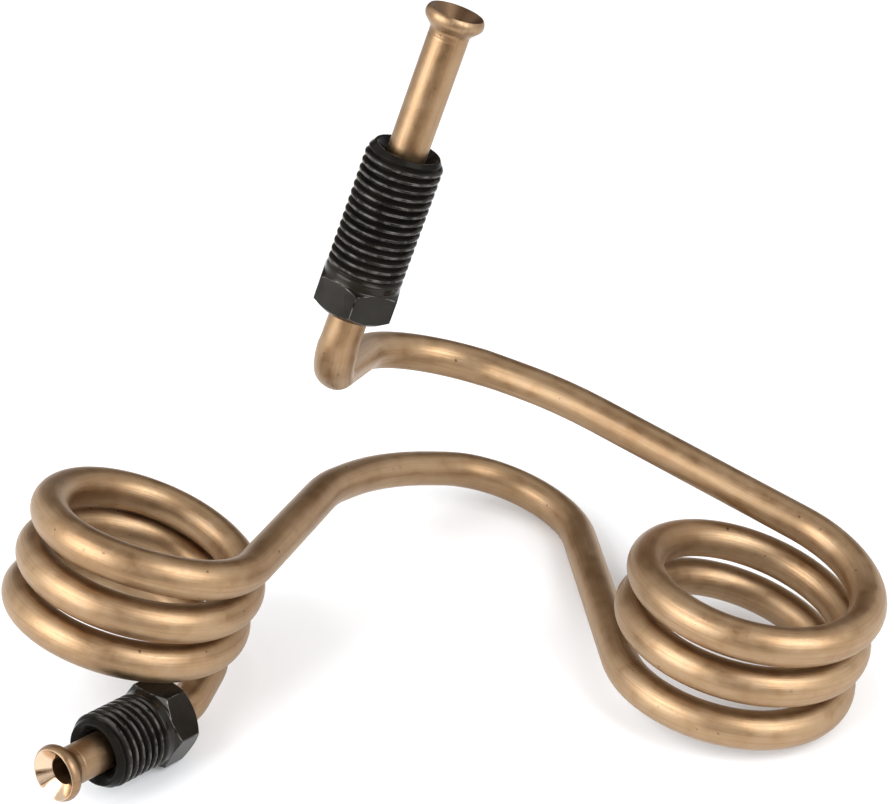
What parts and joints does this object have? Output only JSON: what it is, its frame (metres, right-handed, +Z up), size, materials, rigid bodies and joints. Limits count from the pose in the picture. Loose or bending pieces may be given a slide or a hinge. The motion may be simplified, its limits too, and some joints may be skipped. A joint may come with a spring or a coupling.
{
  "type": "coiled metal brake line",
  "caption": "Pre-formed metal brake line wound into two vibration coils, with double-flared ends and loose threaded tube nuts.",
  "frame": {"origin": "under the middle of the part on the surface it lies on", "axes": "+X to the right along the longest extent, from the coil with the short nut to the other coil; +Y away from the viewer; +Z up, with the long leg standing up"},
  "size_m": [0.1095, 0.0714, 0.0869],
  "materials": {
    "copper_nickel": "satin copper-nickel tube, drawn and bent, lightly tarnished",
    "black_steel": "black oxide, semi-gloss"
  },
  "bodies": {
    "line": {"brake_tube": "copper_nickel"},
    "long_nut": {"long_tube_nut": "black_steel"},
    "short_nut": {"short_tube_nut": "black_steel"}
  },
  "joints": [
    {"name": "long_nut_slide", "type": "slide", "parent": "line", "child": "long_nut", "axis": [0.3309, 0.1043, 0.9379], "range_m": [-0.0039, 0.01616]},
    {"name": "short_nut_slide", "type": "slide", "parent": "line", "child": "short_nut", "axis": [-0.6036, -0.7754, 0.1857], "range_m": [-0.0006, 0.00546]}
  ]
}
